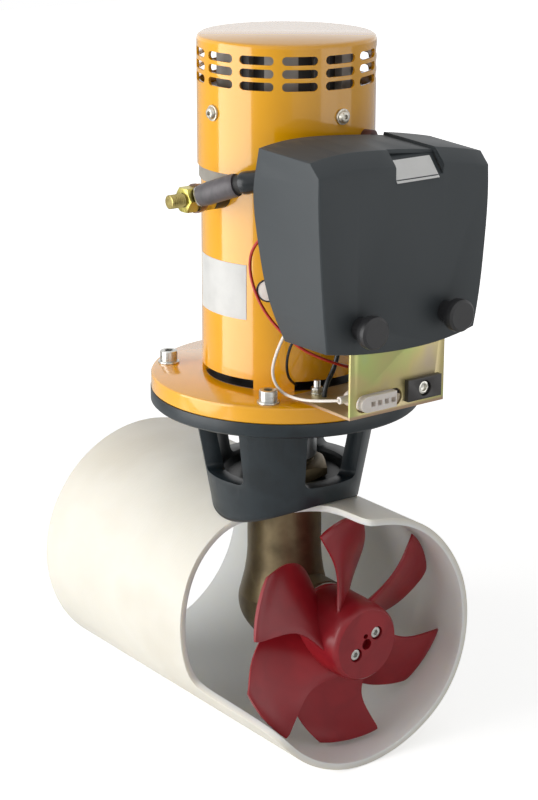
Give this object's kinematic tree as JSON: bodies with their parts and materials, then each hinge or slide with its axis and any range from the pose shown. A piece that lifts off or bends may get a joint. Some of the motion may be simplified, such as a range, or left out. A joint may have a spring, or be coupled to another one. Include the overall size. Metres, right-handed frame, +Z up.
{
  "type": "bow thruster",
  "caption": "Electric bow thruster: upright motor and relay box on a flanged bracket, gear leg and multi-blade propeller inside a transverse tunnel.",
  "frame": {"origin": "where the tunnel axis crosses the axis of the gear leg and motor", "axes": "+Y along the tunnel, away from the propeller; +Z up the leg to the motor; +X completes the right hand"},
  "size_m": [0.2071, 0.3445, 0.5341],
  "materials": {
    "cream_laminate": "satin gel coat over glass fibre",
    "black_composite": "fine moulded",
    "black_rubber": "matt",
    "amber_paint": "gloss",
    "stainless": "bright",
    "cast_aluminium": "as cast",
    "bearing_steel": "ground",
    "core_steel": "plain",
    "copper": "plain",
    "carbon": "matt",
    "bronze": "cast, dull",
    "pod_ring": "turned",
    "red_plastic": "smooth",
    "brass": "turned",
    "dark_plastic": "fine texture",
    "knob_plastic": "satin",
    "yellow_zinc": "yellow passivated zinc",
    "white_plastic": "satin",
    "black_sheath": "satin",
    "red_sheath": "satin",
    "white_sheath": "satin"
  },
  "bodies": {
    "frame": {"brush_holder": "dark_plastic", "brushes": "carbon", "cable_lugs": "copper", "commutator_end_frame": "cast_aluminium", "contactor_studs": "copper", "contactors": "knob_plastic", "control_box_cover": "dark_plastic", "control_connector": "white_plastic", "control_plate": "yellow_zinc", "cover_screws": "stainless", "cover_studs": "stainless", "drive_bearings": "bearing_steel", "drive_end_frame": "cast_aluminium", "earth_lead": "black_sheath", "field_magnets": "core_steel", "flange_cap_screws": "stainless", "fuse": "brass", "fuse_holder": "dark_plastic", "gear_leg": "bronze", "housing_band": "black_rubber", "housing_plug": "white_plastic", "leg_nut": "bronze", "motor_bearings": "bearing_steel", "motor_cover": "amber_paint", "motor_flange": "amber_paint", "motor_housing": "amber_paint", "motor_lead": "black_sheath", "mounting_bracket": "black_composite", "plate_screws": "stainless", "pod_cap": "pod_ring", "power_cable": "black_sheath", "power_studs": "copper", "propeller_bearings": "bearing_steel", "shaft_seals": "black_rubber", "stud_insulators": "dark_plastic", "stud_nuts": "stainless", "terminal_boot": "black_rubber", "tunnel": "cream_laminate", "tunnel_gasket": "black_rubber", "wire_black": "black_sheath", "wire_red": "red_sheath", "wire_white": "white_sheath"},
    "rotor": {"armature_core": "core_steel", "armature_windings": "copper", "commutator": "copper", "motor_shaft": "stainless", "upper_coupling": "cast_aluminium", "coupling_spider": "black_rubber", "lower_coupling": "cast_aluminium", "drive_shaft": "stainless", "pinion": "core_steel"},
    "propeller_set": {"propeller": "red_plastic", "crown_gear": "core_steel", "propeller_shaft": "stainless", "propeller_insert": "brass", "propeller_drive_pin": "stainless", "propeller_screws": "stainless"},
    "knob_left": {"knob_left": "knob_plastic"},
    "knob_right": {"knob_right": "knob_plastic"}
  },
  "joints": [
    {"name": "motor_spin", "type": "hinge", "parent": "frame", "child": "rotor", "pos_m": [0, 0, 0.2], "axis": [0, 0, 1], "continuous": true},
    {"name": "propeller_spin", "type": "hinge", "parent": "frame", "child": "propeller_set", "pos_m": [0, -0.05, 0], "axis": [0, 1, 0], "continuous": true},
    {"name": "knob_left_turn", "type": "hinge", "parent": "frame", "child": "knob_left", "pos_m": [-0.0385, -0.14, 0.255], "axis": [0, -1, 0], "continuous": true},
    {"name": "knob_right_turn", "type": "hinge", "parent": "frame", "child": "knob_right", "pos_m": [0.0385, -0.14, 0.255], "axis": [0, -1, 0], "continuous": true}
  ],
  "couplings": [
    {"joint": "propeller_spin", "follows": "motor_spin", "ratio": 0.59091}
  ]
}
